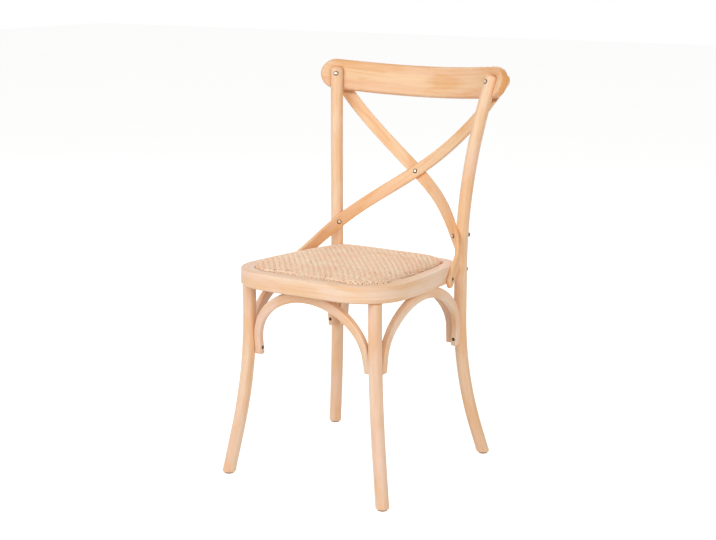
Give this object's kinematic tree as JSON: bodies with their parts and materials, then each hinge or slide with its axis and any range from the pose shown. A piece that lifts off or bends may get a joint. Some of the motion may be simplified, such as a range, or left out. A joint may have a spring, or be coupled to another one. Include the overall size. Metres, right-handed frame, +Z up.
{
  "type": "cross back chair",
  "caption": "Bentwood dining chair with round splayed legs, arched braces under a woven rattan seat, and a curved crest rail over crossed back slats.",
  "frame": {"origin": "on the floor, under the middle of the whole chair's footprint", "axes": "+Z up, the sitter faces -Y, +X is to the viewer's right seen from the front"},
  "size_m": [0.4922, 0.5251, 0.8825],
  "materials": {
    "wood_frame": "natural, clear satin",
    "wood_rail": "natural, clear satin",
    "wood_slat": "natural, clear satin",
    "base_board": "raw",
    "rattan": "woven cane",
    "screw_steel": "dark bronze",
    "glide_plastic": "matte"
  },
  "bodies": {
    "root": {"rear_post_left": "wood_frame", "rear_post_right": "wood_frame", "front_leg_left": "wood_frame", "front_leg_right": "wood_frame", "crest_rail": "wood_rail", "cross_slat_front": "wood_slat", "cross_slat_rear": "wood_slat", "seat_ring": "wood_frame", "seat_base_panel": "base_board", "rattan_seat": "rattan", "front_arch": "wood_frame", "rear_arch": "wood_frame", "left_arch": "wood_frame", "right_arch": "wood_frame", "crest_screws": "screw_steel", "cross_screw": "screw_steel", "slat_bolts": "screw_steel", "slat_bolt_nuts": "screw_steel", "seat_bolts": "screw_steel", "slat_end_screws": "screw_steel", "slat_top_screws": "screw_steel", "arch_leg_screws": "screw_steel", "arch_seat_screws": "screw_steel", "seat_base_screws": "screw_steel", "foot_glides": "glide_plastic"}
  },
  "joints": []
}
